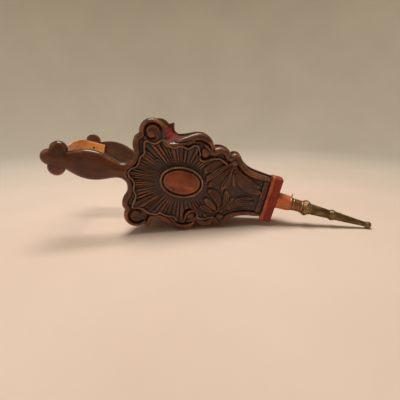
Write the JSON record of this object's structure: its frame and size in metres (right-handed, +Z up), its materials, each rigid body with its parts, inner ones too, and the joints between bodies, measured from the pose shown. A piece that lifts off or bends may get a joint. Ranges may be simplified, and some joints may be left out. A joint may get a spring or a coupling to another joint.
{
  "type": "hand bellows",
  "caption": "Carved walnut hand bellows: two scroll-edged boards on a leather hinge, folded leather gusset, inner air valve, handle strap and a long turned brass nozzle.",
  "frame": {"origin": "on the surface the bellows stands on, under the middle of its bounding box, in the open stance of the picture", "axes": "+X towards the nozzle, +Y from the carved front board to the back board, +Z up"},
  "size_m": [0.5752, 0.1742, 0.2019],
  "materials": {
    "carved_walnut": "waxed dark walnut with lighter worn edges",
    "plain_walnut": "plain satin walnut",
    "fruitwood": "polished orange brown",
    "red_leather": "worn red brown",
    "cherry_leather": "soft dark cherry red",
    "tan_leather": "dry tan",
    "antique_brass": "dark patina, bright on the ridges",
    "tack_brass": "worn brass",
    "steel": "dull"
  },
  "bodies": {
    "base": {"back_board": "plain_walnut", "nose_block": "plain_walnut", "block_screw_upper": "steel", "block_screw_lower": "steel", "hinge_leather": "red_leather", "nozzle_neck": "fruitwood", "nozzle_tube": "antique_brass", "nozzle_pin": "antique_brass", "gusset_leather": "cherry_leather", "handle_strap": "tan_leather", "valve_hinge_strip": "cherry_leather", "valve_tack_1": "tack_brass", "valve_tack_2": "tack_brass", "strap_nail_back": "tack_brass", "back_tack_1": "tack_brass", "back_tack_2": "tack_brass", "back_tack_3": "tack_brass", "back_tack_4": "tack_brass", "back_tack_5": "tack_brass", "back_tack_6": "tack_brass", "back_tack_7": "tack_brass", "back_tack_8": "tack_brass", "back_tack_9": "tack_brass", "back_tack_10": "tack_brass", "back_tack_11": "tack_brass", "back_tack_12": "tack_brass", "back_tack_13": "tack_brass", "back_tack_14": "tack_brass"},
    "front_board": {"front_board": "carved_walnut", "hinge_flap": "red_leather", "strap_nail_front": "tack_brass", "front_tack_1": "tack_brass", "front_tack_2": "tack_brass", "front_tack_3": "tack_brass", "front_tack_4": "tack_brass", "front_tack_5": "tack_brass", "front_tack_6": "tack_brass", "front_tack_7": "tack_brass", "front_tack_8": "tack_brass", "front_tack_9": "tack_brass", "front_tack_10": "tack_brass", "front_tack_11": "tack_brass", "front_tack_12": "tack_brass", "front_tack_13": "tack_brass", "front_tack_14": "tack_brass"},
    "valve": {"valve_flap": "plain_walnut"}
  },
  "joints": [
    {"name": "board_hinge", "type": "hinge", "parent": "base", "child": "front_board", "pos_m": [0.08973, -0.01916, 0.05448], "axis": [-0.2394, 0.0195, -0.9707], "range_deg": [0, 17], "deforming": ["gusset_leather", "handle_strap"]},
    {"name": "valve_hinge", "type": "hinge", "parent": "base", "child": "valve", "pos_m": [-0.05768, 0.03428, 0.11838], "axis": [-0.9577, 0.1594, 0.2394], "range_deg": [0, 12]}
  ]
}
